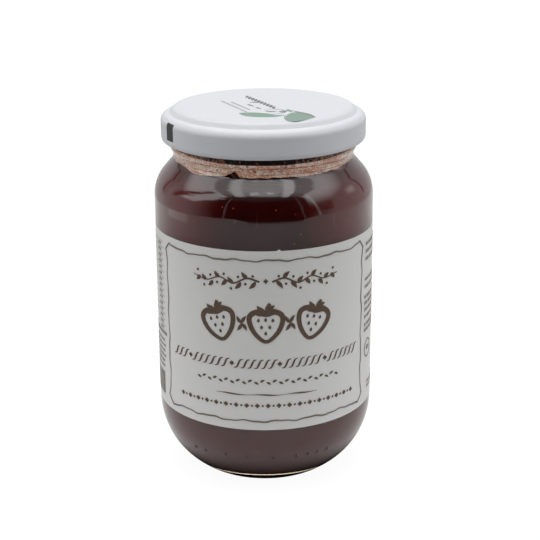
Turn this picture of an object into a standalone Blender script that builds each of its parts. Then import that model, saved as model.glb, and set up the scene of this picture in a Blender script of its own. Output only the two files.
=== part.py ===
"""Jam jar: a round glass jar with a wide white screw lid, full of dark red jam.

Metres, +Z up. The origin is the middle of the foot ring, on the surface the jar stands on.
The jar, the jam, the pale froth above it, the paper label and the lid are one object each.
Each is turned about Z from an outline of (radius, height) points. The bends of an outline
are arcs, given as the radius of each corner.
"""

from math import acos, ceil, cos, pi, radians, sin, tan

import bmesh
import bpy
from mathutils import Matrix, Vector

# Jar, outside
JAR_RADIUS = 0.0364
NECK_RADIUS = 0.0297
FOOT_RADIUS = 0.0229
RIM_HEIGHT = 0.1234
HEEL_CORNER = 0.0079
HEEL_BEND = 0.0268
HEEL_TOP = 0.0245
SHOULDER_CORNER = 0.0997
SHOULDER_BEND = 0.0129
NECK_CORNER = 0.1074
NECK_BEND = 0.0044
BEAD_LOW = 0.1091
BEAD_FLANK = 0.0017
BEAD_HIGH = 0.1119
BEAD_RELIEF = 0.0009

# Jar, inside and underneath
WALL = 0.00245
RIM_BEND = 0.0012
FLOOR_HEIGHT = 0.0058
FLOOR_EDGE = (0.0190, 0.0051)
INNER_HEEL_CORNER = 0.0092
INNER_HEEL_BEND = 0.0195
FLOOR_BEND = 0.0030
FOOT_WIDTH = 0.0021
FOOT_BEND = 0.0004
PUSH_UP = 0.0022

# Contents
JAM_LEVEL = 0.1075
FROTH_TOP = 0.1150
FROTH_BEND = 0.0010

# Label
LABEL_LOW = 0.0243
LABEL_HIGH = 0.0852
LABEL_THICKNESS = 0.00015
LABEL_TURN = radians(330)

# Lid
LID_RADIUS = 0.03365
LID_TOP = 0.1243
LID_BOTTOM = 0.1131
LID_SHEET = 0.0004
PANEL_RADIUS = 0.02925
PANEL_BEND = 0.0022
LEDGE_RADIUS = 0.03075
LEDGE_DROP = 0.00185
LEDGE_BEND = 0.0005
EDGE_DROP = 0.0027
LID_TOP_BEND = 0.0024
LID_LOW_BEND = 0.0017
CURL_RADIUS = 0.0309
CURL_HEIGHT = 0.0025
CURL_BEND = 0.0007

# Pieces that touch in the real jar stay this far apart here
GAP = 0.0003

# Turning: the number of sides, and how far a chord may lie inside its arc
SIDES = 48
CHORD_ERROR = 0.0001
SHARP_ANGLE = radians(40)


def clear_scene():
    """Remove every object, so that the file holds the jar alone."""
    for found in list(bpy.data.objects):
        bpy.data.objects.remove(found, do_unlink=True)


def rounded(corners):
    """Points of an outline given as (radius, height, bend) corners; a bend of 0 stays sharp."""
    points = [Vector(corners[0][:2])]
    for before, corner, after in zip(corners, corners[1:], corners[2:]):
        here = Vector(corner[:2])
        towards = (Vector(before[:2]) - here).normalized()
        onwards = (Vector(after[:2]) - here).normalized()
        turn = pi - towards.angle(onwards)
        bend = corner[2]
        if bend == 0 or turn < 1e-6:
            points.append(here)
            continue
        reach = bend * tan(turn / 2)
        start = here + towards * reach
        centre = here + (towards + onwards).normalized() * (bend / cos(turn / 2))
        side = 1 if towards.cross(onwards) < 0 else -1
        count = ceil(turn / (2 * acos(1 - CHORD_ERROR / bend)))
        spoke = start - centre
        for step in range(count + 1):
            angle = side * turn * step / count
            turned = (
                spoke.x * cos(angle) - spoke.y * sin(angle),
                spoke.x * sin(angle) + spoke.y * cos(angle),
            )
            points.append(centre + Vector(turned))
    points.append(Vector(corners[-1][:2]))
    return points


def inset(points, distance):
    """The same outline, moved to the left of its own direction; its ends on the axis stay there."""
    moved = []
    for index, point in enumerate(points):
        before = points[max(index - 1, 0)]
        after = points[min(index + 1, len(points) - 1)]
        legs = [leg.normalized() for leg in (point - before, after - point) if leg.length > 0]
        along = sum(legs, Vector((0, 0))).normalized()
        half_turn = along.angle(legs[0])
        normal = Vector((-along.y, along.x))
        target = point + normal * (distance / cos(half_turn))
        if point.x == 0:
            target.x = 0
        moved.append(target)
    return moved


def crossing(low, high, height):
    """The point between two others at a height."""
    return low.lerp(high, (height - low.y) / (high.y - low.y))


def below(points, height):
    """The start of an outline, up to the first place where it climbs past a height."""
    kept = []
    for point in points:
        if point.y > height:
            kept.append(crossing(kept[-1], point, height))
            break
        kept.append(point)
    return kept


def above(points, height):
    """The rest of the outline that below() starts."""
    taken = len(below(points, height)) - 1
    return [crossing(points[taken - 1], points[taken], height), *points[taken:]]


def dome(edge_radius, edge_height, top_height, count):
    """Points of a shallow dome, from the axis out to its edge."""
    points = []
    for step in range(count + 1):
        share = step / count
        height = top_height + (edge_height - top_height) * share * share
        points.append((edge_radius * share, height, 0))
    return points


def finish(name, mesh_data, material):
    """Turn a bmesh into a named, smoothly shaded object with one material."""
    bmesh.ops.recalc_face_normals(mesh_data, faces=mesh_data.faces)
    mesh = bpy.data.meshes.new(name)
    mesh_data.to_mesh(mesh)
    mesh_data.free()
    mesh.materials.append(material)
    mesh.shade_smooth()
    mesh.set_sharp_from_angle(angle=SHARP_ANGLE)
    made = bpy.data.objects.new(name, mesh)
    bpy.context.collection.objects.link(made)
    return made


def chain(mesh_data, points, closed=False):
    """Lay an outline in the plane Y = 0 as vertices joined by edges."""
    made = [mesh_data.verts.new((point.x, 0, point.y)) for point in points]
    pairs = list(zip(made, made[1:]))
    if closed:
        pairs.append((made[-1], made[0]))
    return made, [mesh_data.edges.new(pair) for pair in pairs]


def turned_solid(name, points, material):
    """A solid turned right round from an outline that starts and ends on the axis."""
    mesh_data = bmesh.new()
    verts, edges = chain(mesh_data, points)
    bmesh.ops.spin(
        mesh_data,
        geom=[*verts, *edges],
        cent=(0, 0, 0),
        axis=(0, 0, 1),
        angle=2 * pi,
        steps=SIDES,
        use_merge=True,
    )
    bmesh.ops.remove_doubles(mesh_data, verts=mesh_data.verts, dist=1e-6)
    return finish(name, mesh_data, material)


def turned_strip(name, points, turn, material):
    """A closed strip that goes part of the way round, centred on the front at -Y."""
    mesh_data = bmesh.new()
    verts, edges = chain(mesh_data, points, closed=True)
    bmesh.ops.rotate(
        mesh_data,
        verts=verts,
        cent=(0, 0, 0),
        matrix=Matrix.Rotation(-pi / 2 - turn / 2, 3, "Z"),
    )
    bmesh.ops.spin(
        mesh_data,
        geom=[*verts, *edges],
        cent=(0, 0, 0),
        axis=(0, 0, 1),
        angle=turn,
        steps=round(SIDES * turn / (2 * pi)),
    )
    bmesh.ops.holes_fill(mesh_data, edges=mesh_data.edges, sides=len(points))
    return finish(name, mesh_data, material)


def plain_material(name, colour, roughness, metallic=0.0, transmission=0.0):
    """A plain Principled material."""
    made = bpy.data.materials.new(name)
    made.use_nodes = True
    shader = made.node_tree.nodes["Principled BSDF"]
    shader.inputs["Base Color"].default_value = (*colour, 1)
    shader.inputs["Roughness"].default_value = roughness
    shader.inputs["Metallic"].default_value = metallic
    shader.inputs["Transmission Weight"].default_value = transmission
    return made


def side_outline():
    """Outside of the jar from the top of the heel, over the shoulder, up the neck to the rim."""
    return rounded(
        [
            (JAR_RADIUS, HEEL_TOP, 0),
            (JAR_RADIUS, SHOULDER_CORNER, SHOULDER_BEND),
            (NECK_RADIUS, NECK_CORNER, NECK_BEND),
            (NECK_RADIUS, RIM_HEIGHT, 0),
        ]
    )


def cavity_outline():
    """Inside of the jar, from the middle of its floor up to the rim."""
    inner_radius = JAR_RADIUS - WALL
    floor = rounded(
        [
            (0, FLOOR_HEIGHT, 0),
            (*FLOOR_EDGE, FLOOR_BEND),
            (inner_radius, INNER_HEEL_CORNER, INNER_HEEL_BEND),
            (inner_radius, INNER_HEEL_CORNER + INNER_HEEL_BEND, 0),
        ]
    )
    return [*floor, *inset(side_outline(), WALL)[1:]]


def jar_outline():
    """The glass, from the middle of its underside round the rim to the middle of its floor."""
    foot_inside = FOOT_RADIUS - FOOT_WIDTH
    underside = dome(foot_inside - FOOT_BEND, FOOT_BEND, PUSH_UP, 3)
    outside = rounded(
        [
            *underside,
            (foot_inside, 0, 0),
            (FOOT_RADIUS, 0, FOOT_BEND),
            (JAR_RADIUS, HEEL_CORNER, HEEL_BEND),
            (JAR_RADIUS, SHOULDER_CORNER, SHOULDER_BEND),
            (NECK_RADIUS, NECK_CORNER, NECK_BEND),
            (NECK_RADIUS, BEAD_LOW, 0),
            (NECK_RADIUS + BEAD_RELIEF, BEAD_LOW + BEAD_FLANK, 0),
            (NECK_RADIUS + BEAD_RELIEF, BEAD_HIGH - BEAD_RELIEF, 0),
            (NECK_RADIUS, BEAD_HIGH, 0),
            (NECK_RADIUS, RIM_HEIGHT, RIM_BEND),
            (NECK_RADIUS - WALL, RIM_HEIGHT, RIM_BEND),
            (NECK_RADIUS - WALL, RIM_HEIGHT - 2 * RIM_BEND, 0),
        ]
    )
    inside = cavity_outline()[:-1]
    return [*outside, *reversed(inside)]


def lid_outline():
    """The lid, from the middle of its top down the skirt, round the curl and back underneath."""
    curl_top = LID_BOTTOM + CURL_HEIGHT
    top = rounded(
        [
            (0, LID_TOP, 0),
            (PANEL_RADIUS, LID_TOP, PANEL_BEND),
            (LEDGE_RADIUS, LID_TOP - LEDGE_DROP, LEDGE_BEND),
            (LID_RADIUS, LID_TOP - EDGE_DROP, LID_TOP_BEND),
            (LID_RADIUS, curl_top, 0),
        ]
    )
    curl = rounded(
        [
            (LID_RADIUS, curl_top, 0),
            (LID_RADIUS, LID_BOTTOM, LID_LOW_BEND),
            (CURL_RADIUS, LID_BOTTOM, CURL_BEND),
            (CURL_RADIUS, curl_top, CURL_BEND),
            (LID_RADIUS - LID_SHEET, curl_top, 0),
        ]
    )
    underside = inset(top[::-1], LID_SHEET)
    return [*top, *curl[1:], *underside[1:]]


def make_jar():
    """The glass jar, open at the rim under the lid."""
    glass = plain_material("glass", (0.93, 0.95, 0.94), 0.03, transmission=1.0)
    turned_solid("jar", jar_outline(), glass)


def make_contents():
    """Jam up to its level in the neck, and the pale froth that lies on it."""
    jam = plain_material("jam", (0.10, 0.012, 0.010), 0.25)
    froth = plain_material("froth", (0.47, 0.33, 0.27), 0.6)
    inside = inset(cavity_outline(), GAP)
    jam_side = below(inside, JAM_LEVEL)
    turned_solid("jam", [*jam_side, Vector((0, JAM_LEVEL))], jam)
    froth_low = JAM_LEVEL + GAP
    froth_side = below(above(inside, froth_low), FROTH_TOP)
    corner = froth_side.pop()
    top = rounded(
        [
            (*froth_side[-1], 0),
            (*corner, FROTH_BEND),
            (0, FROTH_TOP, 0),
        ]
    )
    turned_solid("froth", [Vector((0, froth_low)), *froth_side, *top[1:]], froth)


def make_label():
    """The paper label wrapped round the body, its ends apart at the back."""
    paper = plain_material("label", (0.62, 0.62, 0.60), 0.6)
    inner = JAR_RADIUS + GAP
    outer = inner + LABEL_THICKNESS
    section = [
        Vector((inner, LABEL_LOW)),
        Vector((outer, LABEL_LOW)),
        Vector((outer, LABEL_HIGH)),
        Vector((inner, LABEL_HIGH)),
    ]
    turned_strip("label", section, LABEL_TURN, paper)


def make_lid():
    """The painted sheet lid, with its raised round panel and its curled lower edge."""
    paint = plain_material("lid", (0.80, 0.81, 0.83), 0.45)
    turned_solid("lid", lid_outline(), paint)


def main():
    clear_scene()
    make_jar()
    make_contents()
    make_label()
    make_lid()


if __name__ == "__main__":
    main()
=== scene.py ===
"""Jam jar, dressed for a studio picture.

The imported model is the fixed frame. Each operator below makes one piece, or one group of like
pieces, and the last one sets the stage. Sizes are metres, +Z is up, and -Y is the label's front.
A flat drawing on the label is laid out in (along, up): along is the way round the label from
the middle of its front, positive to the right as seen from outside.
"""

from math import acos, ceil, cos, degrees, exp, hypot, pi, radians, sin, sqrt, tan

import bmesh
import bpy
from bpy.props import FloatProperty, FloatVectorProperty, IntProperty, PointerProperty
from mathutils import Matrix, Vector, geometry, noise


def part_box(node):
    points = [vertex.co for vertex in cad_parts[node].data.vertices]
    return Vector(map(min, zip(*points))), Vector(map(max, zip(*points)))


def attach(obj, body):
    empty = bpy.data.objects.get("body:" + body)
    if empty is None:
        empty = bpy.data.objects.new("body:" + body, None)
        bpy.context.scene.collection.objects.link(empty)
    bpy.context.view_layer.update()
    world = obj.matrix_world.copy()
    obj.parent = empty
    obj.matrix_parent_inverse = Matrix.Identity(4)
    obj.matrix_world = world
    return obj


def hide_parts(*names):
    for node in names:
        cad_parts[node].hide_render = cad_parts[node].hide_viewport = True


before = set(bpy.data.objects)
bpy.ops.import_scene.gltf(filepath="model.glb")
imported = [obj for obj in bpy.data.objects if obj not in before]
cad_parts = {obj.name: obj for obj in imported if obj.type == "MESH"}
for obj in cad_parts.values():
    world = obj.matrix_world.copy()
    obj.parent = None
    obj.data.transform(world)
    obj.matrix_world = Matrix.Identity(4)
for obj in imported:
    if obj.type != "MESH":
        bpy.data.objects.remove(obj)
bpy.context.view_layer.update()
JAR_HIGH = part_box("jar")[1]
LABEL_LOW, LABEL_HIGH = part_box("label")
LID_LOW, LID_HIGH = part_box("lid")

bl_info = {
    "name": "Jam Jar",
    "version": (1, 0, 0),
    "blender": (4, 5, 0),
    "location": "3D View > Sidebar > Jam Jar",
    "description": "Dresses a jar of jam: glass, jam, froth, paper label, print and lid",
    "category": "Add Mesh",
}

SIDES = 192
CHORD_ERROR = 0.000003
SUPPORT = 0.00015
WELD = 0.000001
MM = 0.001
FLOW_STEP = 0.00035
SHARP = radians(50)

# Corners of the frame line on the label, in millimetres, clockwise from the top left
FRAME_CORNERS = ((-38.3, 82.15), (38.6, 82.15), (38.6, 27.45), (-38.3, 27.45))

# Lengths in millimetres of the bars that stand for words
WORDS = (3.1, 1.5, 4.2, 2.2, 1.2, 3.6, 2.7)

# Corners where the shoulder and the neck start, and the bend between them
SHOULDER = 0.0997
NECK_START = 0.1074
NECK_BEND = 0.0044

# Height of the lid's curl, and the thin gaps that keep paper and ink off what carries them
CURL_HEIGHT = 0.0025
PAPER_GAP = 0.00003
INK_GAP = 0.000006

# Mould marks on the heel: their height, and degrees round from the front, to the right
DOTS_UP = 0.0134
MOULD_DOTS = (-42.4, -35.6, -22.6, -10.5, 4.0, 17.0, 23.6, 29.7, 36.0)


def length(name, description, default):
    """A size in metres, as a property."""
    return FloatProperty(
        name=name, description=description, default=default, subtype="DISTANCE", precision=5
    )


def colour(name, description, default):
    """A linear colour, as a property."""
    return FloatVectorProperty(
        name=name, description=description, default=default, subtype="COLOR", min=0, max=1
    )


class JarGlass(bpy.types.PropertyGroup):
    """Sizes and colour of the glass."""

    radius: length("Radius", "Outside radius of the body", JAR_HIGH.x)
    height: length("Height", "Height of the rim under the lid", JAR_HIGH.z)
    neck: length("Neck", "Outside radius of the neck", 0.0297)
    foot: length("Foot", "Outside radius of the foot ring", 0.0229)
    wall: length("Wall", "Thickness of the wall", 0.00245)
    heel_bend: length("Heel bend", "Radius of the round heel", 0.0268)
    shoulder_bend: length("Shoulder bend", "Radius of the round shoulder", 0.0129)
    push_up: length("Push-up", "Rise of the hollow under the base", 0.0022)
    bead: length("Bead", "Relief of the bead under the lid", 0.00090)
    seam: length("Seam", "Relief of the ring seam on the neck", 0.00014)
    dot: length("Mould dot", "Height of the small marks on the heel", 0.00060)
    tint: colour("Tint", "Colour of the glass", (0.97, 0.985, 0.98))


class JarFood(bpy.types.PropertyGroup):
    """Levels and colours of what the jar holds."""

    level: length("Froth edge", "Height of the froth's lower edge", 0.1064)
    froth_top: length("Froth top", "Height of the froth's top", 0.1150)
    reach: length("Reach", "How far the jam reaches into the glass", 0.00015)
    # Painted light: the jam colour is the darker front, and the thin-jam colour is the redder glow
    # where light comes through the thin jam at the jar's sides.
    jam: colour("Jam", "Colour of the jam at the front", (0.040, 0.0036, 0.0030))
    side_glow: colour("Thin jam", "Colour of the jam where it is thinner", (0.175, 0.0105, 0.0085))
    pulp: colour("Pulp", "Colour of the paler pulp in the jam", (0.150, 0.026, 0.018))
    seed: colour("Seed", "Colour of the seeds", (0.55, 0.16, 0.06))
    froth: colour("Froth", "Colour of the froth", (0.78, 0.40, 0.27))
    bubble: colour("Bubble", "Colour of the froth's pale bubbles", (1.0, 0.78, 0.64))
    smear: colour("Smear", "Colour of the froth's brown smears", (0.66, 0.26, 0.14))
    # Painted shade: the dark colour of the froth's hollows and of its two dark lines.
    froth_shade: colour("Shade", "Colour of the froth's dark hollows", (0.09, 0.032, 0.020))
    # Painted shadow: the near-black colour of the ring that stands for the shade under the lid.
    residue: colour("Residue", "Colour of the dried jam under the lid", (0.016, 0.008, 0.007))


class JarLabel(bpy.types.PropertyGroup):
    """Sizes and colours of the label and its print."""

    low: length("Low edge", "Height of the label's lower edge", LABEL_LOW.z)
    high: length("High edge", "Height of the label's upper edge", LABEL_HIGH.z)
    paper: length("Paper", "Thickness of the paper", 0.00010)
    ink_depth: length("Ink depth", "Thickness of the ink", 0.00002)
    turn: FloatProperty(
        name="Turn", description="How far the label goes round", default=radians(330), subtype="ANGLE"
    )
    sheet: colour("Sheet", "Colour of the paper", (0.90, 0.90, 0.88))
    ink: colour("Ink", "Colour of the front's ink", (0.115, 0.072, 0.046))
    frame_ink: colour("Frame ink", "Colour of the frame line", (0.20, 0.155, 0.12))
    pale_ink: colour("Pale ink", "Colour of the sides' print", (0.30, 0.275, 0.25))


class JarLid(bpy.types.PropertyGroup):
    """Sizes and colours of the lid."""

    radius: length("Radius", "Outside radius of the skirt", LID_HIGH.x)
    top: length("Top", "Height of the raised panel", LID_HIGH.z - 0.00005)
    bottom: length("Bottom", "Height of the curl", LID_LOW.z)
    sheet: length("Sheet", "Thickness of the sheet metal", 0.0004)
    panel: length("Panel", "Radius of the raised panel", 0.02925)
    ledge: length("Ledge", "Inner radius of the sloping ledge round the panel", 0.03075)
    drop: length("Drop", "Drop from the panel to the ledge", 0.00185)
    edge_drop: length("Edge drop", "Drop from the panel to the ledge's outer corner", 0.0027)
    top_bend: length("Top bend", "Radius of the skirt's upper corner", 0.0024)
    low_bend: length("Low bend", "Radius of the skirt's lower corner", 0.0017)
    ink_depth: length("Ink depth", "Thickness of the print", 0.00002)
    enamel: colour("Enamel", "Colour of the white enamel", (0.730, 0.748, 0.782))
    leaf: colour("Leaf", "Colour of the printed leaves", (0.22, 0.315, 0.255))
    dots: colour("Dots", "Colour of the printed dots", (0.23, 0.24, 0.24))
    # Painted reflection: colour of the dark upright band on the skirt's left side.
    mark: colour("Reflection", "Colour of the dark mark on the skirt", (0.035, 0.035, 0.035))


class JarStage(bpy.types.PropertyGroup):
    """The camera, the floor and the light tent."""

    lens: FloatProperty(name="Lens", description="Focal length in millimetres", default=90.2)
    distance: length("Distance", "From the camera to the point it looks at", 0.46095)
    aim: length("Aim", "Height of the point that the camera looks at", 0.0671)
    elevation: FloatProperty(
        name="Elevation", description="Of the camera", default=radians(18.309), subtype="ANGLE"
    )
    roll: FloatProperty(
        name="Roll", description="Of the camera, clockwise", default=radians(0.43), subtype="ANGLE"
    )
    shift: FloatProperty(name="Shift", description="Sideways shift of the picture", default=0.0104)
    floor: colour("Floor", "Colour of the floor", (0.30, 0.30, 0.30))
    floor_glow: FloatProperty(name="Floor glow", description="Light that the floor adds", default=0.34)
    light: FloatProperty(name="Light", description="Strength of the tent's light", default=0.72)
    floor_size: IntProperty(name="Floor size", description="Side of the floor in metres", default=8)


class Signal:
    """One socket of a node tree that takes part in plain arithmetic."""

    def __init__(self, recipe, socket):
        self.recipe = recipe
        self.socket = socket

    def calc(self, operation, first, second=0.0):
        return self.recipe.add("ShaderNodeMath", {"operation": operation}, {0: first, 1: second})

    def __add__(self, other):
        return self.calc("ADD", self, other)

    __radd__ = __add__

    def __sub__(self, other):
        return self.calc("SUBTRACT", self, other)

    def __rsub__(self, other):
        return self.calc("SUBTRACT", other, self)

    def __mul__(self, other):
        return self.calc("MULTIPLY", self, other)

    __rmul__ = __mul__

    def __truediv__(self, other):
        return self.calc("DIVIDE", self, other)

    def __abs__(self):
        return self.calc("ABSOLUTE", self)

    def power(self, other):
        return self.calc("POWER", self, other)

    def most(self, other):
        return self.calc("MAXIMUM", self, other)

    def rise(self, low, high):
        """0 below low, 1 above high, smooth between; the other way round if low is more."""
        return self.recipe.add(
            "ShaderNodeMapRange",
            {"interpolation_type": "SMOOTHSTEP"},
            {"Value": self, "From Min": low, "From Max": high},
        )


class Recipe:
    """A node tree being written. add makes any node; the rest are the ones used most."""

    def __init__(self, tree):
        self.tree = tree

    def add(self, kind, settings=None, inputs=None, output=0):
        node = self.tree.nodes.new(kind)
        for key, value in (settings or {}).items():
            setattr(node, key, value)
        for key, value in (inputs or {}).items():
            if isinstance(value, Signal):
                self.tree.links.new(value.socket, node.inputs[key])
            else:
                node.inputs[key].default_value = value
        return Signal(self, node.outputs[output]) if node.outputs else None

    def place(self):
        """Object coordinates, which are metres in the model's own frame."""
        return self.add("ShaderNodeTexCoord", output=3)

    def parts(self, vector):
        """The three numbers of a vector."""
        node = self.add("ShaderNodeSeparateXYZ", inputs={0: vector}).socket.node
        return [Signal(self, socket) for socket in node.outputs]

    def noise(self, scale, detail=3.0, roughness=0.5, vector=None, distortion=0.0):
        return self.add(
            "ShaderNodeTexNoise",
            inputs={
                "Vector": vector or self.place(),
                "Scale": scale,
                "Detail": detail,
                "Roughness": roughness,
                "Distortion": distortion,
            },
        )

    def cells(self, scale):
        """Distance to the nearest of a scatter of points."""
        return self.add("ShaderNodeTexVoronoi", inputs={"Vector": self.place(), "Scale": scale})

    def stretched(self, vector, times):
        """A vector with each number multiplied by its own."""
        return self.add("ShaderNodeVectorMath", {"operation": "MULTIPLY"}, {0: vector, 1: times})

    def blend(self, first, second, share):
        """A colour between two colours."""
        return self.add(
            "ShaderNodeMix", {"data_type": "RGBA"}, {0: share, 6: first, 7: second}, output=2
        )

    def bump(self, height, distance, strength=1.0):
        return self.add(
            "ShaderNodeBump", inputs={"Height": height, "Distance": distance, "Strength": strength}
        )


def new_finish(name):
    """A material with a bare output, and the recipe that writes it."""
    made = bpy.data.materials.new(name)
    made.use_nodes = True
    made.node_tree.nodes.clear()
    return made, Recipe(made.node_tree)


def rgba(shade):
    return (*shade, 1.0)


def principled(recipe, inputs):
    """The surface shader, joined to the output."""
    surface = recipe.add("ShaderNodeBsdfPrincipled", inputs=inputs)
    recipe.add("ShaderNodeOutputMaterial", inputs={"Surface": surface})
    return surface


def clear_glass(look):
    """Clear glass, with faint rings round the shoulder where the mould left it uneven."""
    made, recipe = new_finish("clear_glass")
    spot = recipe.place()
    up = recipe.parts(spot)[2]
    flat = recipe.stretched(spot, (0.35, 0.35, 7.0))
    rings = recipe.noise(90, 2, 0.5, flat) * up.rise(0.0965, 0.1010)
    principled(
        recipe,
        {
            "Base Color": rgba(look.tint),
            "Roughness": 0.0,
            "IOR": 1.5,
            "Transmission Weight": 1.0,
            "Coat Weight": 1.0,
            "Coat Roughness": 0.0,
            "Coat IOR": 1.5,
            "Normal": recipe.bump(rings, 0.00011),
        },
    )
    return made


def dark_jam(look):
    """Dark red jam with paler pulp, thin pale skins, small orange seeds and a rusty patch at
    the froth's notch. Its colour carries painted light: darker at the front, redder towards the
    sides and the bottom, where light glows through the thin jam. The rim of its underside glows,
    in place of the light that the base glass gathers there."""
    made, recipe = new_finish("dark_jam")
    across, along, up = recipe.parts(recipe.place())
    # Painted light: this mask is 0 at the front and 1 at the sides and near the bottom. It blends the
    # dark front jam into the redder glowing jam and shows more pulp there.
    thin = abs(across).rise(0.008, 0.030).most(up.rise(0.098, 0.030) * 0.6)
    cloud = recipe.noise(55, 4, 0.6).rise(0.42, 0.72) * (thin * 0.6 + 0.1)
    deep = recipe.blend(rgba(look.jam), rgba(look.side_glow), thin)
    body = recipe.blend(deep, rgba(look.pulp), cloud)
    thread = abs(recipe.noise(48, 1, 0.4, distortion=0.8) - 0.5)
    where = recipe.noise(90, 1, 0.5).rise(0.58, 0.68)
    skin = thread.rise(0.010, 0.002) * where
    threaded = recipe.blend(body, (0.20, 0.06, 0.045, 1), skin * 0.4)
    notch = around(0.0275, radians(-16.5), 0.1076)
    near = recipe.add(
        "ShaderNodeVectorMath", {"operation": "DISTANCE"}, {0: recipe.place(), 1: notch}, output=1
    )
    rusty = recipe.blend(threaded, (0.16, 0.045, 0.028, 1), near.rise(0.0019, 0.0007) * 0.9)
    seed = recipe.cells(330).rise(0.085, 0.045)
    shade = recipe.blend(rusty, rgba(look.seed), seed * 0.7)
    out = (across.power(2) + along.power(2)).power(0.5)
    rim = strip(out, 0.0193, 0.0005, 0.0004) * up.rise(0.0064, 0.0060)
    principled(
        recipe,
        {
            "Base Color": shade,
            "Roughness": 0.25,
            "Specular IOR Level": 0.05,
            "Emission Color": recipe.blend((0, 0, 0, 1), (0.62, 0.53, 0.40, 1), rim),
            "Emission Strength": 2.2,
        },
    )
    return made


def pale_froth(look):
    """Dried froth: fine pale grains and brown smears, with painted shade in its hollows and two
    painted dark lines where the glass bead's edges fall. It glows a little, in place of the light
    that scatters inside it."""
    made, recipe = new_finish("pale_froth")
    spot = recipe.place()
    flat = recipe.stretched(spot, (1, 1, 1.7))
    across, _, up = recipe.parts(spot)
    ragged = recipe.noise(260, 3, 0.6, flat) - 0.5
    clump = recipe.noise(330, 3, 0.6, flat)
    grain = recipe.noise(2000, 2, 0.7, flat)
    body = recipe.blend(rgba(look.froth), rgba(look.bubble), clump.rise(0.40, 0.58))
    smear = recipe.noise(170, 3, 0.6, flat).rise(0.52, 0.62) * 0.75
    rusty = recipe.blend(body, rgba(look.smear), smear)
    dotted = recipe.blend(rusty, (0.36, 0.17, 0.12, 1), grain.rise(0.49, 0.40) * 0.8)
    bright = recipe.blend(dotted, (1.0, 0.86, 0.76, 1), grain.rise(0.54, 0.64) * 0.8)
    # Painted shade: the hollows take the dark shade colour, with more of them in a band across the
    # middle.
    holes = recipe.noise(520, 3, 0.7, flat)
    middle = abs(across).rise(0.0075, 0.0045) * abs(up - 0.1089).rise(0.0008, 0.0003)
    pits = holes.rise(0.38, 0.32).most(holes.rise(0.49, 0.45) * middle)
    holed = recipe.blend(bright, rgba(look.froth_shade), pits)
    # Painted shade: two ragged dark lines at the heights where the glass bead's edges darken the froth.
    dashes = recipe.noise(190, 1, 0.5).rise(0.40, 0.50)
    line = abs(up + ragged * 0.0002 - 0.10982).rise(0.00020, 0.00008) * (dashes * 0.5 + 0.5)
    line = line.most(abs(up + ragged * 0.0002 - 0.10735).rise(0.00017, 0.00007) * dashes)
    ruled = recipe.blend(holed, rgba(look.froth_shade), line * 0.65)
    principled(
        recipe,
        {
            "Base Color": ruled,
            "Roughness": 0.35,
            "Emission Color": ruled,
            "Emission Strength": 0.27,
            "Normal": recipe.bump(grain * 0.5 + clump, 0.0004, 0.7),
        },
    )
    return made


def painted_lid_shadow(look):
    """Painted shadow of the lid: near-black, with reddish specks."""
    made, recipe = new_finish("painted_lid_shadow")
    specks = recipe.noise(1000, 3, 0.7)
    aside = abs(recipe.parts(recipe.place())[0]).rise(0.004, 0.020)
    many = (specks + aside * 0.13).rise(0.57, 0.68)
    shade = recipe.blend(rgba(look.residue), (0.42, 0.19, 0.12, 1), many * 0.85)
    principled(
        recipe,
        {"Base Color": shade, "Roughness": 0.35, "Normal": recipe.bump(specks, 0.0003, 0.6)},
    )
    return made


def label_paper(look):
    """Uncoated paper with a faint mottle and fibre."""
    made, recipe = new_finish("label_paper")
    mottle = recipe.noise(900, 4, 0.7)
    drift = recipe.noise(40, 2, 0.5)
    tone = (mottle - 0.5) * 0.10 + (drift - 0.5) * 0.06
    base = look.sheet
    shade = recipe.blend(rgba([c * 0.94 for c in base]), rgba([c * 1.06 for c in base]), tone + 0.5)
    principled(
        recipe,
        {
            "Base Color": shade,
            "Roughness": 0.45,
            "Specular IOR Level": 0.5,
            "Normal": recipe.bump(mottle, 0.00003, 0.5),
        },
    )
    return made


def printed_ink(name, shade):
    """Ink that sits in the paper, a little uneven."""
    made, recipe = new_finish(name)
    wear = recipe.noise(2500, 2, 0.6).rise(0.35, 0.8)
    paler = [min(c * 1.7 + 0.03, 1) for c in shade]
    principled(
        recipe,
        {"Base Color": recipe.blend(rgba(shade), rgba(paler), wear * 0.6), "Roughness": 0.6},
    )
    return made


def white_enamel(look):
    """Satin enamel on sheet metal, with a faint orange-peel surface. Painted light: the skirt and
    a band at the top bend are painted lighter than the panel.
    """
    made, recipe = new_finish("white_enamel")
    peel = recipe.noise(1200, 2, 0.5)
    drift = recipe.noise(70, 3, 0.5)
    up = recipe.parts(recipe.place())[2]
    # Painted light: the skirt, and more faintly a band at the top bend, take a lighter copy of the
    # enamel.
    skirt = up.rise(0.12165, 0.1209).most(strip(up, 0.1231, 0.0006, 0.0005) * 0.6)
    white = recipe.blend(rgba(look.enamel), rgba([min(c * 1.14, 1) for c in look.enamel]), skirt)
    dull = rgba([c * 0.95 for c in look.enamel])
    principled(
        recipe,
        {
            "Base Color": recipe.blend(white, dull, drift.rise(0.4, 0.9) * 0.4),
            "Roughness": drift * 0.1 + 0.36,
            "Specular IOR Level": 0.4,
            "Normal": recipe.bump(peel, 0.00002, 0.35),
        },
    )
    return made


def plain_print(name, shade, roughness=0.45):
    """Flat printing ink on the enamel."""
    made, recipe = new_finish(name)
    grain = recipe.noise(1800, 2, 0.6)
    paler = [min(c * 1.25, 1) for c in shade]
    principled(
        recipe, {"Base Color": recipe.blend(rgba(shade), rgba(paler), grain), "Roughness": roughness}
    )
    return made


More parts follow.
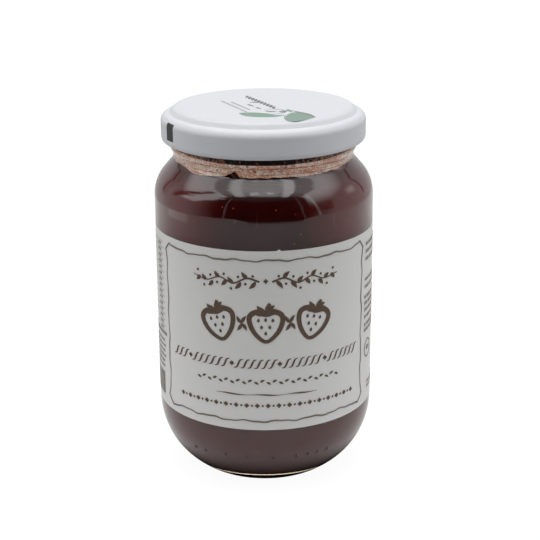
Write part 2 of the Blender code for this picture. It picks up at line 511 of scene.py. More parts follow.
def rounded(corners, error=CHORD_ERROR):
    """Points of an outline given as (radius, height, bend) corners; a bend of 0 stays sharp."""
    points = [Vector(corners[0][:2])]
    for before, corner, after in zip(corners, corners[1:], corners[2:]):
        here = Vector(corner[:2])
        towards = (Vector(before[:2]) - here).normalized()
        onwards = (Vector(after[:2]) - here).normalized()
        turn = pi - towards.angle(onwards)
        bend = corner[2]
        if bend == 0 or turn < 1e-6:
            points.append(here)
            continue
        start = here + towards * bend * tan(turn / 2)
        centre = here + (towards + onwards).normalized() * (bend / cos(turn / 2))
        side = 1 if towards.cross(onwards) < 0 else -1
        count = ceil(turn / (2 * acos(1 - error / bend)))
        spoke = start - centre
        for step in range(count + 1):
            turned = Matrix.Rotation(side * turn * step / count, 2)
            points.append(centre + turned @ spoke)
    points.append(Vector(corners[-1][:2]))
    return points


def inset(points, distance):
    """The same outline, moved to the left of its own direction; its ends on the axis stay there."""
    moved = []
    for index, point in enumerate(points):
        before = points[max(index - 1, 0)]
        after = points[min(index + 1, len(points) - 1)]
        legs = [leg.normalized() for leg in (point - before, after - point) if leg.length > 0]
        along = sum(legs, Vector((0, 0))).normalized()
        normal = Vector((-along.y, along.x))
        target = point + normal * (distance / cos(along.angle(legs[0])))
        if point.x == 0:
            target.x = 0
        moved.append(target)
    return moved


def side_outline(glass):
    """Outside of the jar from the top of the heel, over the shoulder and up the neck."""
    return rounded(
        [
            (glass.radius, 0.0245, 0),
            (glass.radius, SHOULDER, glass.shoulder_bend),
            (glass.neck, NECK_START, NECK_BEND),
            (glass.neck, glass.height, 0),
        ]
    )


def cavity_outline(glass):
    """Inside of the jar, from the middle of its floor up to the rim."""
    inner = glass.radius - glass.wall
    floor = rounded(
        [
            (0, 0.0058, 0),
            (0.0190, 0.0051, 0.0030),
            (inner, 0.0092, 0.0195),
            (inner, 0.0287, 0),
        ]
    )
    return [*floor, *inset(side_outline(glass), glass.wall)[1:]]


def jar_outline(glass):
    """The glass, from the middle of its underside round the rim to the middle of its floor."""
    foot_inside = glass.foot - 0.0021
    steps = 12
    underside = []
    for k in range(steps):
        share = (k / steps) ** 2
        underside.append((foot_inside * k / steps, glass.push_up * (1 - share) + 0.0004 * share, 0))
    neck = glass.neck
    outside = rounded(
        [
            *underside,
            (foot_inside, 0, 0.0003),
            (glass.foot, 0, 0.0004),
            (glass.radius, 0.0079, glass.heel_bend),
            (glass.radius, SHOULDER, glass.shoulder_bend),
            (neck, NECK_START, NECK_BEND),
            (neck, 0.1091, 0.0004),
            (neck + glass.bead, 0.1108, 0.0004),
            (neck + glass.bead, 0.1113, 0.0002),
            (neck, 0.1119, 0.0003),
            (neck, glass.height, 0.0012),
            (neck - glass.wall, glass.height, 0.0012),
            (neck - glass.wall, glass.height - 0.0024, 0),
        ]
    )
    for point in outside:
        point.x += glass.seam * exp(-(((point.y - 0.1083) / 0.00012) ** 2))
    inside = cavity_outline(glass)[:-1]
    return [*outside, *reversed(inside)]


def supported(points):
    """The same outline with a point close to both ends of every long stretch, so that smooth
    shading stays straight along it."""
    full = [points[0]]
    for start, end in zip(points, points[1:]):
        stretch = end - start
        if stretch.length > 10 * SUPPORT:
            full += [start + stretch.normalized() * SUPPORT, end - stretch.normalized() * SUPPORT]
        full.append(end)
    return full


def spin_round(mesh, verts, edges, angle=2 * pi, steps=SIDES):
    """Turn an outline about the jar's axis; a full turn closes on itself."""
    bmesh.ops.spin(
        mesh,
        geom=[*verts, *edges],
        cent=(0, 0, 0),
        axis=(0, 0, 1),
        angle=angle,
        steps=steps,
        use_merge=angle == 2 * pi,
    )


def spun(points):
    """A solid turned right round from an outline that starts and ends on the axis."""
    mesh = bmesh.new()
    verts = [mesh.verts.new((point.x, 0, point.y)) for point in supported(points)]
    edges = [mesh.edges.new(pair) for pair in zip(verts, verts[1:])]
    spin_round(mesh, verts, edges)
    bmesh.ops.remove_doubles(mesh, verts=mesh.verts, dist=WELD)
    return mesh


def add_piece(name, mesh, finish, stands_for=()):
    """Make a finished mesh a piece of the jar, with its material and body."""
    bmesh.ops.recalc_face_normals(mesh, faces=mesh.faces)
    data = bpy.data.meshes.new(name)
    mesh.to_mesh(data)
    mesh.free()
    data.materials.append(finish)
    data.shade_smooth()
    data.set_sharp_from_angle(angle=SHARP)
    piece = bpy.data.objects.new(name, data)
    bpy.context.collection.objects.link(piece)
    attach(piece, "root")
    if stands_for:
        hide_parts(*stands_for)
    return piece


def around(radius, angle, height):
    """A point at an angle from the front, positive to the right."""
    return Vector((radius * sin(angle), -radius * cos(angle), height))


def angle_of(point):
    """Angle of a point from the front, positive to the right."""
    return Vector((-point.y, point.x)).angle_signed(Vector((1, 0)))


def raise_dots(mesh, glass):
    """Refine the heel round each mould dot, and raise the dot as a small smooth lump."""
    radius = wall_radius(jar_outline(glass), DOTS_UP)
    spots = [around(radius, radians(turn), DOTS_UP) for turn in MOULD_DOTS]
    spread = 0.00050
    near = [
        face
        for face in mesh.faces
        if any((face.calc_center_median() - spot).length < 0.0022 for spot in spots)
    ]
    edges = list({edge for face in near for edge in face.edges})
    bmesh.ops.subdivide_edges(mesh, edges=edges, cuts=4, use_grid_fill=True)
    bmesh.ops.recalc_face_normals(mesh, faces=mesh.faces)
    for vert in mesh.verts:
        for spot in spots:
            away = (vert.co - spot).length
            if away < 4 * spread:
                vert.co += vert.normal * glass.dot * exp(-((away / spread) ** 2))


def flowing(points, closed=False):
    """A smooth path through 2D points, given in millimetres; the result is in metres."""
    knots = [Vector(point) * MM for point in points]
    if closed:
        knots = [knots[-1], *knots, knots[0], knots[1]]
    else:
        knots = [knots[0] * 2 - knots[1], *knots, knots[-1] * 2 - knots[-2]]
    path = []
    for k in range(1, len(knots) - 2):
        before, start, end, after = knots[k - 1 : k + 3]
        pulls = start + (end - before) / 6, end - (after - start) / 6
        count = max(ceil((end - start).length / FLOW_STEP), 2)
        path += [p.to_2d() for p in geometry.interpolate_bezier(start, *pulls, end, count + 1)][:-1]
    return [*path, knots[-2]]


def swelling(width, thin=0.15):
    """Full width in the middle of a stroke, and thin at both ends."""
    return lambda way: width * (thin + (1 - thin) * sin(pi * way) ** 0.8)


class Press:
    """Prints flat shapes as thin bands. place puts a 2D point on the printed surface."""

    def __init__(self, place):
        self.mesh = bmesh.new()
        self.place = place

    def band(self, path, width):
        """A band along a path; width gives its full width at a share of the way, in metres."""
        left = right = None
        last = len(path) - 1
        for index, point in enumerate(path):
            heading = path[min(index + 1, last)] - path[max(index - 1, 0)]
            across = heading.normalized().orthogonal() * max(width(index / last), 2 * WELD) / 2
            sides = self.place(point + across), self.place(point - across)
            if left is None:
                left, right = (self.mesh.verts.new(side) for side in sides)
                edge = self.mesh.edges.new((left, right))
                continue
            made = bmesh.ops.extrude_edge_only(self.mesh, edges=[edge])["geom"]
            ends = [item for item in made if isinstance(item, bmesh.types.BMVert)]
            left, right = sorted(ends, key=lambda vert: (vert.co - left.co).length)
            left.co, right.co = sides
            edge = self.mesh.edges.get((left, right))

    def stroke(self, points, width):
        """A flowing stroke that swells in the middle; sizes in millimetres."""
        self.band(flowing(points), swelling(width * MM))

    def leaf(self, x, y, turn, size, width):
        """A pointed leaf from (x, y), turned from the right in degrees; sizes in millimetres."""
        ahead = Vector((cos(radians(turn)), sin(radians(turn))))
        side = ahead.orthogonal() * size * 0.08
        start = Vector((x, y))
        points = [start + ahead * size * k / 4 + side * (1 - (k / 2 - 1) ** 2) for k in range(5)]
        self.band(flowing(points), lambda way: width * MM * sin(pi * way**0.8))

    def dot(self, x, y, size, pointed=False):
        """A round dot, or a diamond; sizes in millimetres."""
        steps = 10
        path = [Vector((x + size * (k / steps - 0.5), y)) * MM for k in range(steps + 1)]
        if pointed:
            self.band(path, lambda way: size * MM * (1 - abs(2 * way - 1)))
        else:
            self.band(path, lambda way: size * MM * sqrt(max(1 - (2 * way - 1) ** 2, 0)))

    def bar(self, start, end, height, thickness):
        """A straight bar along a level line; sizes in millimetres."""
        count = max(ceil((end - start) * MM / FLOW_STEP), 1)
        path = [Vector((start + (end - start) * k / count, height)) * MM for k in range(count + 1)]
        self.band(path, lambda way: thickness * MM)

    def words(self, start, end, height, thickness):
        """A level row of bars of mixed lengths, which stands for a line of small print."""
        place, count = start, 0
        while place < end - 1:
            size = min(WORDS[(count + int(height * 10)) % len(WORDS)], end - place)
            self.bar(place, place + size, height, thickness)
            place += size + 0.7
            count += 1

    def finish(self, name, depth, finish, slot):
        """Give the print a thickness and make it a piece."""
        bmesh.ops.remove_doubles(self.mesh, verts=self.mesh.verts, dist=WELD)
        bmesh.ops.recalc_face_normals(self.mesh, faces=self.mesh.faces)
        bmesh.ops.solidify(self.mesh, geom=self.mesh.faces[:], thickness=depth)
        return add_piece(name, self.mesh, finish)


class JAMJAR_OT_glass(bpy.types.Operator):
    """Blow the clear jar, with its mould dots and ring seams"""

    bl_idname = "jam_jar.glass"
    bl_label = "Glass jar"

    def execute(self, context):
        glass = context.scene.jar_glass
        mesh = spun(jar_outline(glass))
        raise_dots(mesh, glass)
        piece = add_piece("glass_jar", mesh, clear_glass(glass), ["jar"])
        piece.visible_shadow = False
        return {"FINISHED"}


def wall_radius(outline, height):
    """Radius of an outline where its wall passes a height."""
    for low, high in zip(outline, outline[1:]):
        if low.y <= height <= high.y and high.y > low.y and low.x > 0.02:
            return low.lerp(high, (height - low.y) / (high.y - low.y)).x
    raise ValueError(f"no wall at {height}")


class JAMJAR_OT_jam(bpy.types.Operator):
    """Fill the jar with jam that reaches just into the glass"""

    bl_idname = "jam_jar.jam"
    bl_label = "Jam"

    def execute(self, context):
        glass = context.scene.jar_glass
        food = context.scene.jar_food
        inside = inset(cavity_outline(glass), -food.reach)
        top = food.level + 0.0030
        side = [point for point in inside if point.y < top]
        edge = Vector((wall_radius(inside, top), top))
        mesh = spun([*side, edge, Vector((0, top))])
        add_piece("jam_fill", mesh, dark_jam(food), ["jam"])
        return {"FINISHED"}


def froth_edge(angle, level):
    """Height of the froth's ragged lower edge at an angle from the front: it sags on both sides
    and has one notch left of the middle."""
    turn = degrees(angle)
    ragged = noise.fractal(around(1.0, angle, 0.0) * 14, 1.0, 2.0, 4) * 0.00032
    sag = 0.0009 * exp(-(((turn + 45) / 12) ** 2)) + 0.0002 * exp(-(((turn - 32) / 12) ** 2))
    back = 0.0005 * min(max((abs(turn) - 54) / 8, 0), 1)
    notch = 0.0021 * max(min((turn + 25) / 6.5, (-15.0 - turn) / 3.5), 0)
    return level + ragged - sag + back + notch


class JAMJAR_OT_froth(bpy.types.Operator):
    """Lay the pale froth in the neck, with its ragged lower edge"""

    bl_idname = "jam_jar.froth"
    bl_label = "Froth"

    def execute(self, context):
        glass = context.scene.jar_glass
        food = context.scene.jar_food
        inside = inset(cavity_outline(glass), -food.reach * 2)
        upper = 0.1100
        rows = 24
        heights = [food.level + (upper - food.level) * k / rows for k in range(rows + 1)]
        side = [Vector((wall_radius(inside, height), height)) for height in heights]
        top = food.froth_top
        outline = [
            Vector((0, upper)),
            Vector((side[0].x - 0.003, upper)),
            *side,
            Vector((side[-1].x, top - 0.001)),
            Vector((side[-1].x - 0.001, top)),
            Vector((0, top)),
        ]
        mesh = spun(outline)
        for vert in mesh.verts:
            radius = hypot(vert.co.x, vert.co.y)
            if vert.co.z < upper - WELD and radius > side[0].x - 0.004:
                share = (upper - vert.co.z) / (upper - food.level)
                height = upper - share * (upper - froth_edge(angle_of(vert.co), food.level))
                grown = wall_radius(inside, height) / radius
                vert.co = Vector((vert.co.x * grown, vert.co.y * grown, height))
        add_piece("froth_cap", mesh, pale_froth(food), ["froth"])
        return {"FINISHED"}


class JAMJAR_OT_lid_shadow(bpy.types.Operator):
    """Lay a near-black ring on the glass just under the lid, as a painted shadow of the lid"""

    bl_idname = "jam_jar.residue"
    bl_label = "Residue"

    def execute(self, context):
        neck = context.scene.jar_glass.neck
        outline = [
            (0.00090, 0.11130),
            (0.00001, 0.11195),
            (0.00001, 0.11290),
            (0.00060, 0.11290),
            (0.00075, 0.11220),
            (0.00096, 0.11150),
            (0.00096, 0.11108),
            (0.00090, 0.11108),
        ]
        mesh = bmesh.new()
        verts = [mesh.verts.new((neck + out, 0, height)) for out, height in outline]
        edges = [mesh.edges.new(pair) for pair in zip(verts, [*verts[1:], verts[0]])]
        spin_round(mesh, verts, edges)
        for vert in mesh.verts:
            side = min(abs(vert.co.x) / 0.026, 1) ** 3 if vert.co.y < 0 else 1
            ragged = noise.fractal(vert.co.normalized() * 9, 1.0, 2.0, 4) * 0.00012
            share = min(max((0.1122 - vert.co.z) / 0.0011, 0), 1)
            vert.co.z += (side * 0.00045 + abs(ragged)) * share
            grown = 1 - side * share * 0.0006 / neck
            vert.co = Vector((vert.co.x * grown, vert.co.y * grown, vert.co.z))
        add_piece("lid_shadow_ring", mesh, painted_lid_shadow(context.scene.jar_food))
        return {"FINISHED"}


class JAMJAR_OT_label(bpy.types.Operator):
    """Wrap the paper label round the body, with the small tag on its upper edge"""

    bl_idname = "jam_jar.label"
    bl_label = "Label"

    def execute(self, context):
        glass = context.scene.jar_glass
        label = context.scene.jar_label
        radius = glass.radius + PAPER_GAP
        mesh = bmesh.new()
        rows = 8
        tag_place, tag_width, tag_height = 0.0046, 0.0006, 0.0007
        verts = []
        for k in range(rows + 1):
            height = label.low + (label.high - label.low) * (k / rows) ** 0.5
            verts.append(mesh.verts.new(around(radius, -label.turn / 2, height)))
        edges = [mesh.edges.new(pair) for pair in zip(verts, verts[1:])]
        spin_round(mesh, verts, edges, label.turn, 440)
        for vert in mesh.verts:
            if vert.co.z > label.high - WELD:
                along = radius * angle_of(vert.co)
                vert.co.z += tag_height * max(1 - abs(along - tag_place) / tag_width, 0)
        bmesh.ops.recalc_face_normals(mesh, faces=mesh.faces)
        bmesh.ops.solidify(mesh, geom=mesh.faces[:], thickness=label.paper)
        add_piece("paper_label", mesh, label_paper(label), ["label"])
        return {"FINISHED"}


def label_press(scene):
    """A press for the label's outside."""
    radius = scene.jar_glass.radius + PAPER_GAP + scene.jar_label.paper + INK_GAP
    return Press(lambda point: around(radius, point.x / radius, point.y))


class JAMJAR_OT_frame_line(bpy.types.Operator):
    """Draw the wavy line round the front of the label"""

    bl_idname = "jam_jar.frame_line"
    bl_label = "Frame line"

    def execute(self, context):
        label = context.scene.jar_label
        press = label_press(context.scene)
        half_width, middle, bend = 38.3, 54.8, 1.6
        corners = [Vector((x, y)) for x, y in FRAME_CORNERS]
        walk = []
        sides = zip(corners, [*corners[1:], corners[0]])
        for start, end in sides:
            ahead = (end - start).normalized()
            first, last = start + ahead * bend, end - ahead * bend
            count = ceil((last - first).length / 0.4)
            walk += [first.lerp(last, k / count) for k in range(count + 1)]
        path = []
        for spot in walk:
            if abs(spot.x) > half_width - 0.1:
                outward = Vector((1 if spot.x > 0 else -1, 0))
                way = spot.y * 0.45 + 0.6
            else:
                outward = Vector((0, 1 if spot.y > middle else -1))
                way = spot.x * 0.56 + spot.y
            wave = 0.26 * sin(way) + 0.10 * sin(way * 2.3 + 1)
            near = min((spot - corner).length for corner in corners)
            flare = 1.15 * exp(-((near / 3.4) ** 2))
            path.append(spot + outward * (wave * (1 - flare / 1.3) + flare))
        press.band(flowing(path, closed=True), lambda way: 0.46 * MM * (1 + 0.2 * sin(way * 90)))
        press.finish(
            "label_frame_line", label.ink_depth, printed_ink("frame_ink", label.frame_ink), "label"
        )
        return {"FINISHED"}


class JAMJAR_OT_ornaments(bpy.types.Operator):
    """Print the front's ornaments: leafy sprays, berries, a rope, small leaves and diamonds"""

    bl_idname = "jam_jar.ornaments"
    bl_label = "Ornaments"

    def execute(self, context):
        label = context.scene.jar_label
        press = label_press(context.scene)
        for side in (-1, 1):
            leafy_spray(press, 0.4, 75.2, side)
        press.dot(0.4, 75.4, 1.7, pointed=True)
        for x, lean in ((-15.2, 14), (0.4, 0), (16.0, -14)):
            berry(press, x, 61.0, lean)
        for x in (-7.4, 8.2):
            for turn in (58, 122, 238, 302):
                press.leaf(x, 61.2, turn, 3.0, 1.15)
        rope(press, -33.2, 33.8, 47.4)
        for k in range(25):
            x = -23.6 + k * 2.0
            press.leaf(x, 41.1, 28 if k % 2 else -28, 1.7, 0.75)
        swash = [(-16.5 + k * 2.0, 36.7 + 0.12 * sin(k * 1.1)) for k in range(18)]
        press.band(flowing(swash), lambda way: MM * (0.10 + 0.38 * sin(pi * 3 * way) ** 2))
        for k in range(37):
            press.dot(-30.6 + k * 1.75, 32.9, 0.75 if k % 2 else 1.75, pointed=not k % 2)
        press.finish("label_ornaments", label.ink_depth, printed_ink("ink", label.ink), "label")
        return {"FINISHED"}


def leafy_spray(press, x, y, side):
    """A spray that runs from the middle to one side, with leaves and small berries."""
    stem = [(2.0, 0.0), (6.0, 1.1), (10.5, -0.7), (15.0, 1.0), (19.5, -0.5), (24.6, 0.6)]
    press.band(
        flowing([(x + side * along, y + rise) for along, rise in stem]),
        lambda way: MM * (0.62 - 0.35 * way),
    )
    for k in range(9):
        along = 3.2 + k * 2.35
        rise = 0.9 * sin((along - 3.0) * 0.70)
        up = 1 if k % 2 else -1
        turn = up * 48
        press.leaf(x + side * along, y + rise, turn if side > 0 else 180 - turn, 3.3 - k * 0.12, 1.35)
        press.dot(x + side * (along + 0.9), y + rise - up * 1.7, 0.85)


def berry(press, x, y, lean):
    """A strawberry with its leaves, leaning to the left by some degrees."""
    turned = Matrix.Rotation(radians(lean), 2)
    centre = Vector((x, y))
    body = [(0, -5.9), (3.1, -3.7), (5.0, -0.4), (5.2, 2.6), (3.0, 4.1)]
    outline = [*body, (0, 3.4), *[(-across, up) for across, up in reversed(body[1:])]]
    press.band(
        flowing([centre + turned @ Vector(point) for point in outline], closed=True),
        lambda way: MM * (1.2 + 0.6 * sin(pi * way)),
    )
    for across, up in ((-2.3, 1.1), (0, 1.3), (2.3, 1.1), (-1.3, -1.2), (1.3, -1.2), (0, -3.3)):
        spot = centre + turned @ Vector((across, up - 0.45))
        press.leaf(*spot, 90 + lean, 1.4, 0.95)
    top = centre + turned @ Vector((0, 3.7))
    for turn, size in ((8, 4.6), (42, 3.9), (138, 3.9), (172, 4.6)):
        press.leaf(*top, turn + lean, size, 1.8)
    stem = [(0, 3.7), (0.2, 5.4), (1.3, 7.0)]
    press.band(
        flowing([centre + turned @ Vector(point) for point in stem]), lambda way: MM * (0.7 + 0.4 * way)
    )


def rope(press, start, end, y):
    """A row of slanting S-shaped strokes, with a diamond in place of every seventh."""
    count = round((end - start) / 2.2)
    for k in range(count + 1):
        x = start + (end - start) * k / count
        if k % 7 == 3:
            press.dot(x, y, 1.7, pointed=True)
            continue
        bends = [(-1.2, -1.5), (-0.3, -1.2), (0.0, 0.0), (0.3, 1.2), (1.2, 1.5)]
        press.stroke([(x + across + up * 0.25, y + up) for across, up in bends], 0.62)


class JAMJAR_OT_side_print(bpy.types.Operator):
    """Print the label's sides: a ruled table, rows of small print, upright bars and a ring"""

    bl_idname = "jam_jar.side_print"
    bl_label = "Side print"

    def execute(self, context):
        label = context.scene.jar_label
        press = label_press(context.scene)
        for k in range(15):
            height = 82.2 - k * 2.1
            press.bar(-73.5, -41.2, height, 0.16)
            press.words(-72.5, -62.0, height - 1.0, 0.75)
            press.words(-46.5, -41.8, height - 1.0, 0.75)
        press.bar(-60.0, -40.4, 50.1, 1.2)
        for k in range(6):
            press.words(-73.0, -42.0, 47.4 - k * 1.9, 0.85)
        for k in range(34):
            thick = (0.35, 0.6, 0.3, 0.45)[k % 4]
            x = -69.0 + k * 0.76
            path = [Vector((x, 27.6 + 8.2 * step / 2)) * MM for step in range(3)]
            press.band(path, lambda way, thick=thick: thick * MM)
        for height in (80.8, 78.2, 75.6):
            press.words(41.8, 73.0, height, 1.1)
        for height in (68.6, 66.0):
            press.words(41.6, 73.0, height, 1.0)
        for height in (62.4, 60.2, 57.9, 55.4, 52.6, 50.6):
            press.words(41.4, 72.0, height, 1.1)
        ring = [(45.2 + 3.1 * cos(k * pi / 8), 43.5 + 3.1 * sin(k * pi / 8)) for k in range(16)]
        press.band(flowing(ring, closed=True), lambda way: 0.55 * MM)
        press.leaf(43.6, 43.5, 0, 3.2, 1.8)
        for height in (31.0, 29.2):
            press.words(45.0, 64.0, height, 0.8)
        press.finish(
            "label_side_print", label.ink_depth, printed_ink("pale_ink", label.pale_ink), "label"
        )
        return {"FINISHED"}


def lid_top(lid):
    """Outline of the lid's outside, from the middle of the panel down the skirt to the curl."""
    return rounded(
        [
            (0, lid.top, 0),
            (lid.panel, lid.top, 0.0022),
            (lid.ledge, lid.top - lid.drop, 0.0005),
            (lid.radius, lid.top - lid.edge_drop, lid.top_bend),
            (lid.radius, lid.bottom + CURL_HEIGHT, 0),
        ]
    )


class JAMJAR_OT_lid(bpy.types.Operator):
    """Press the white lid: raised panel, rounded skirt and curled edge"""

    bl_idname = "jam_jar.lid"
    bl_label = "Lid"

    def execute(self, context):
        lid = context.scene.jar_lid
        top = lid_top(lid)
        curl_top = lid.bottom + CURL_HEIGHT
        curl = rounded(
            [
                (lid.radius, curl_top, 0),
                (lid.radius, lid.bottom, lid.low_bend),
                (0.0309, lid.bottom, 0.0007),
                (0.0309, curl_top, 0.0007),
                (lid.radius - lid.sheet, curl_top, 0),
            ]
        )
        outline = [*top, *curl[1:], *inset(top[::-1], lid.sheet)[1:]]
        add_piece("lid_cap", spun(outline), white_enamel(lid), ["lid"])
        return {"FINISHED"}


class JAMJAR_OT_lid_print(bpy.types.Operator):
    """Print the lid with a green sprig and grey dots, and paint a dark reflection on the skirt"""

    bl_idname = "jam_jar.lid_print"
    bl_label = "Lid print"

    def execute(self, context):
        lid = context.scene.jar_lid
        height = lid.top + 0.000004
        leaves = Press(lambda point: Vector((*point, height)))
        swoosh = [(-7.6, -13.6), (-5.1, -15.2), (-2.3, -16.7), (0.6, -17.6), (3.7, -18.4), (7.2, -17.1)]
        leaves.band(flowing(swoosh), lambda way: 6.6 * MM * sin(pi * way**0.75))
        blade = [(6.9 + 9.4 * k / 6, -19.9 - 0.9 * k / 6) for k in range(7)]
        leaves.band(flowing(blade), lambda way: 14.4 * MM * sin(pi * way**0.62))
        leaves.leaf(9.3, -12.7, 106, 5.0, 1.7)
        leaves.finish("lid_leaves", lid.ink_depth, plain_print("leaf_print", lid.leaf), "lid")
        height = height + 2 * lid.ink_depth
        dots = Press(lambda point: Vector((*point, height)))
        dots.stroke([(9.0, -10.4), (11.7, -13.4), (14.2, -16.3), (16.5, -21.2)], 1.1)
        dots.stroke([(7.0, -17.0), (6.7, -22.4), (8.3, -27.0), (12.0, -26.0), (16.3, -21.4)], 0.45)
        script = [
            (-5.7 + 9.5 * k / 19, 12.9 - 18.8 * k / 19 + (2.5 if k % 2 else -1.9)) for k in range(20)
        ]
        dots.band(flowing(script), lambda way: 0.50 * MM * (1 + 0.5 * sin(way * 60)))
        dots.stroke([(-4.6, 3.7), (-2.8, 3.3), (-1.0, 3.2)], 1.3)
        dots.stroke([(-5.2, 0.6), (-4.0, -1.7), (-3.0, -3.4)], 1.0)
        dots.stroke([(-2.4, -4.6), (-1.7, -6.0), (-0.6, -7.6)], 1.0)
        dots.stroke([(0.6, -11.0), (2.2, -11.7), (4.4, -11.8)], 1.5)
        dots.leaf(7.4, -12.0, 172, 2.6, 2.6)
        oval = [(0.2, -8.8), (3.2, -8.0), (6.0, -9.2), (7.3, -12.0), (6.0, -14.3), (3.0, -15.0)]
        dots.stroke(oval, 0.4)
        for k in range(16):
            dots.dot(-13.6 + k * 0.54, 5.6 - k * 1.17, 0.85)
        for k in range(11):
            dots.dot(-10.3 + k * 0.57, 3.7 - k * 1.2, 0.85)
        dots.finish("lid_dots", lid.ink_depth, plain_print("dot_print", lid.dots), "lid")
        # Painted reflection: a dark upright band over the skirt's height on its left side.
        mesh = bmesh.new()
        bmesh.ops.create_grid(mesh, x_segments=12, y_segments=48, size=1)
        skirt = lid_top(lid)[::-1]
        middle, half_height = 0.1185, 0.0028
        turn, half_turn = -62.4, 4.1
        for vert in mesh.verts:
            up = middle + vert.co.y * half_height
            out = wall_radius(skirt, up) + 0.00002
            vert.co = around(out, radians(turn + vert.co.x * half_turn), up)
        bmesh.ops.recalc_face_normals(mesh, faces=mesh.faces)
        bmesh.ops.solidify(mesh, geom=mesh.faces[:], thickness=lid.ink_depth)
        add_piece("lid_reflection", mesh, plain_print("painted_reflection", lid.mark, 0.5))
        return {"FINISHED"}


class JAMJAR_OT_stage(bpy.types.Operator):
    """Set the floor, the light tent and the camera"""

    bl_idname = "jam_jar.stage"
    bl_label = "Stage"

    def execute(self, context):
        stage = context.scene.jar_stage
        make_floor(stage)
        light_tent(context.scene, stage)
        make_camera(context.scene, stage)
        context.scene.view_settings.view_transform = "Standard"
        return {"FINISHED"}


def make_floor(stage):
    """A pale floor. The eye sees it nearly white; its own light on the jar is softer, and
    it ends in the dark a little way in front of the jar. Its colour and glow are painted with
    light and shade: a painted shadow round the jar's foot, and brighter and darker patches and
    strips further out."""
    mesh = bmesh.new()
    bmesh.ops.create_grid(mesh, x_segments=1, y_segments=1, size=stage.floor_size / 2)
    data = bpy.data.meshes.new("studio_floor")
    mesh.to_mesh(data)
    mesh.free()
    made, recipe = new_finish("studio_floor")
    across, along, _ = recipe.parts(recipe.place())
    mottle = recipe.noise(6, 3, 0.5).rise(0.2, 0.8) * 0.04 + 0.96
    out = recipe.add("ShaderNodeVectorMath", {"operation": "LENGTH"}, {0: recipe.place()}, output=1)
    turn = bearing(across, along)
    aside = abs(turn + 2)
    dim = 0.45 - aside.rise(40, 130) * 0.25
    near = 0.94 - out.rise(0.18, 0.28) * dim + out.rise(0.29, 0.34) * 0.14
    ring = strip(out, 0.352, 0.006, 0.008) * strip(turn, -98, 10, 10) * 0.7
    edge = 0.354 + turn.rise(-15, -32) * 0.12 - turn.rise(-35, -90) * 0.11
    edge = edge + turn.rise(38, 50) * 0.13 + turn.rise(50, 63) * 0.04
    patchy_glow = recipe.noise(9, 4, 0.6, distortion=0.6).rise(0.40, 0.60)
    drapes = strip(turn, 58, 1.0, 1.4) * 0.7 + strip(turn, -41, 0.7, 0.8) * 0.3
    beyond = aside.rise(44, 88) * (0.60 + patchy_glow * 0.14) + drapes + strip(turn, 41, 0.7, 0.8) * 0.3
    far = (out - edge).rise(0.0, 0.008)
    # Painted shadow: no colour and no glow within 25 mm of the jar's axis, rising to full by 41 mm.
    clear = out.rise(0.0250, 0.041)
    lit = (near + ring + (beyond - near - ring) * far) * mottle * clear
    sheet = recipe.blend((0, 0, 0, 1), rgba(stage.floor), lit)
    bounce = recipe.add("ShaderNodeBsdfDiffuse", inputs={"Color": sheet})
    spread = recipe.add(
        "ShaderNodeEmission", inputs={"Color": (1, 0.99, 0.98, 1), "Strength": lit * stage.floor_glow}
    )
    real = recipe.add("ShaderNodeAddShader", inputs={0: bounce, 1: spread})
    glow = recipe.add("ShaderNodeEmission", inputs={"Color": (0.94, 0.94, 0.94, 1)})
    faint = recipe.add("ShaderNodeBsdfDiffuse", inputs={"Color": (0.10, 0.10, 0.10, 1)})
    seen = recipe.add("ShaderNodeAddShader", inputs={0: glow, 1: faint})
    eye = recipe.add("ShaderNodeLightPath", output=0)
    surface = recipe.add("ShaderNodeMixShader", inputs={0: eye, 1: real, 2: seen})
    recipe.add("ShaderNodeOutputMaterial", inputs={"Surface": surface})
    data.materials.append(made)
    floor = bpy.data.objects.new("studio_floor", data)
    bpy.context.collection.objects.link(floor)


def strip(value, at, half, soft):
    """1 within half a width of a value, falling to 0 over the soft part beyond it."""
    return abs(value - at).rise(half + soft, half)


def bearing(right, far):
    """Degrees round from the front, positive to the right."""
    return right.calc("ARCTAN2", right, far * -1.0) * (180 / pi)


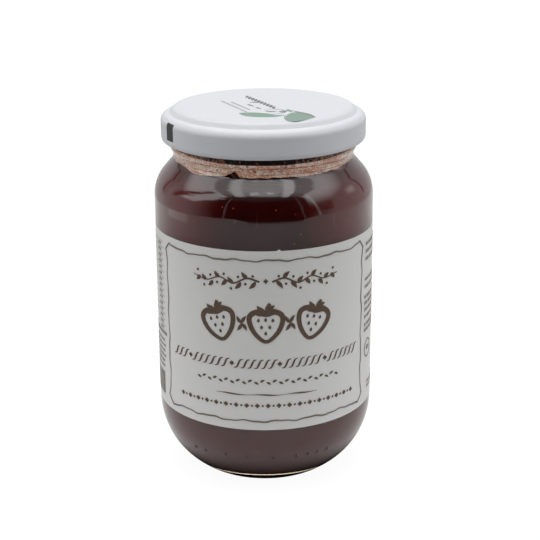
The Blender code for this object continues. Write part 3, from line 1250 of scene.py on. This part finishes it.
def light_tent(scene, stage):
    """Soft light from a white tent: bright above, grey at the sides, open and dark in front.
    Directions are degrees: turn is 0 to the front and grows to the right, height is 0 level.
    across and along are places on a flat ceiling one unit above the jar."""
    world = bpy.data.worlds.new("light_tent")
    world.use_nodes = True
    world.node_tree.nodes.clear()
    scene.world = world
    recipe = Recipe(world.node_tree)
    right, far, up = recipe.parts(recipe.add("ShaderNodeTexCoord", output=0))
    turn = bearing(right, far)
    height = up.calc("ARCSINE", up) * (180 / pi)
    across, along = right / up.most(0.02), far / up.most(0.02)

    # Left wall: a slanting bright band above the opening, with a dark fold over it
    slant = height - (turn + 80) * 0.9
    band = slant.rise(10, 17) * slant.rise(39, 34) * height.rise(8, 20)
    over = slant.rise(41, 46) * (height - (-100 - turn).most(0) * 0.5).rise(16, 38)
    fold = strip(slant, 38.5, 3, 4) * turn.rise(-116, -106) * turn.rise(-72, -80) * 0.8
    left_wall = (turn.rise(-48, -92) * 0.64).most(band.most(over) * 2.35) * (1 - fold)
    left_wall = left_wall * (1 - strip(turn, -129, 5, 5) * 0.3)

    # Right wall: dark below and bright above, with one lamp
    lean = height - (turn - 80).most(0) * 0.35
    lamp = (strip(turn, 109, 1, 11) * strip(height, 18, 1, 9)) * 0.9
    column = 1 - strip(turn, 70, 3, 5) * height.rise(24, 14) * 0.6
    right_wall = (turn.rise(50, 88) * 0.64 * column).most(lean.rise(9, 44) * 2.4) + lamp
    wall = left_wall + right_wall * turn.rise(47, 52)
    wall = wall * (1 - abs(turn).rise(125, 150) * height.rise(15, 30) * 0.45)
    wall = wall * (1 - (strip(turn, -131, 0.9, 0.8) + strip(turn, 127, 0.9, 0.8)) * 0.75)

    # Curtains that hang in the opening
    low = height.rise(50, 44)
    bend = turn - (20 - height).most(0) * 0.1
    curtains = strip(turn, -40.5, 0.8, 0.8) * 0.4 + strip(turn, 39.8, 0.8, 0.8) * 0.3
    curtains = curtains + strip(bend, 55.6, 0.9, 1.2) * (height.rise(-5, 30) * 0.9 + 0.5)
    wall = wall + curtains * low + height.rise(34, 46) * 0.12

    # Ceiling: a grey panel in a dark outline, two bright wings, dark gaps beyond them
    panel = abs(across).rise(0.36, 0.33)
    ceiling = 2.5 + along.rise(-0.36, -0.30) * panel - strip(along, -0.40, 0.012, 0.02) * panel * 0.3
    ceiling = ceiling + strip(across, -0.42, 0.05, 0.05) + strip(across, 0.38, 0.06, 0.05) * 1.3
    ceiling = ceiling - strip(abs(across), 0.28, 0.03, 0.04) * along.rise(-0.45, -0.50) * 0.9
    ceiling = ceiling - strip(across, -0.65, 0.08, 0.06) * (1.3 + along.rise(-0.3, -0.6) * 0.5)
    ceiling = ceiling - strip(across, 0.62, 0.12, 0.06) * (1.3 + along.rise(-0.3, -0.6) * 0.5)
    ceiling = ceiling + strip(across, -0.15, 0.04, 0.05) * strip(along, -0.53, 0.03, 0.05) * 1.7
    ceiling = ceiling + strip(across, 0.10, 0.03, 0.04) * strip(along, -0.52, 0.03, 0.05) * 1.9
    ceiling = ceiling * along.rise(-0.82, -0.58)
    zone = abs(across).rise(0.90, 0.80) * along.rise(-0.84, -0.80) * along.rise(0.9, 0.7)
    strength = wall + (ceiling - wall) * zone
    eye = recipe.add("ShaderNodeLightPath", output=0)
    tent = recipe.add(
        "ShaderNodeBackground", inputs={"Color": (1, 1, 1, 1), "Strength": strength * stage.light}
    )
    seen = recipe.add("ShaderNodeBackground", inputs={"Color": (1, 1, 1, 1), "Strength": 1.0})
    surface = recipe.add("ShaderNodeMixShader", inputs={0: eye, 1: tent, 2: seen})
    recipe.add("ShaderNodeOutputWorld", inputs={"Surface": surface})


def make_camera(scene, stage):
    """The photograph's viewing angle."""
    data = bpy.data.cameras.new("camera")
    data.lens = stage.lens
    data.shift_x = stage.shift
    camera = bpy.data.objects.new("camera", data)
    scene.collection.objects.link(camera)
    back = Vector((0, -cos(stage.elevation), sin(stage.elevation)))
    place = Matrix.Translation(Vector((0, 0, stage.aim)) + back * stage.distance)
    look = back.to_track_quat("Z", "Y").to_matrix().to_4x4()
    camera.matrix_world = place @ look @ Matrix.Rotation(-stage.roll, 4, "Z")
    scene.camera = camera


class JAMJAR_PT_panel(bpy.types.Panel):
    """Lists the jar's pieces in the sidebar"""

    bl_label = "Jam Jar"
    bl_space_type = "VIEW_3D"
    bl_region_type = "UI"
    bl_category = "Jam Jar"

    def draw(self, context):
        for step in STEPS:
            self.layout.operator(step.bl_idname)


GROUPS = {
    "jar_glass": JarGlass,
    "jar_food": JarFood,
    "jar_label": JarLabel,
    "jar_lid": JarLid,
    "jar_stage": JarStage,
}
STEPS = (
    JAMJAR_OT_glass,
    JAMJAR_OT_jam,
    JAMJAR_OT_froth,
    JAMJAR_OT_lid_shadow,
    JAMJAR_OT_label,
    JAMJAR_OT_frame_line,
    JAMJAR_OT_ornaments,
    JAMJAR_OT_side_print,
    JAMJAR_OT_lid,
    JAMJAR_OT_lid_print,
    JAMJAR_OT_stage,
)


def register():
    for group in (*GROUPS.values(), *STEPS, JAMJAR_PT_panel):
        bpy.utils.register_class(group)
    for name, group in GROUPS.items():
        setattr(bpy.types.Scene, name, PointerProperty(type=group))


def unregister():
    for name in GROUPS:
        delattr(bpy.types.Scene, name)
    for group in (JAMJAR_PT_panel, *reversed(STEPS), *GROUPS.values()):
        bpy.utils.unregister_class(group)


def main():
    register()
    for step in STEPS:
        family, name = step.bl_idname.split(".")
        getattr(getattr(bpy.ops, family), name)()


if __name__ == "__main__":
    main()
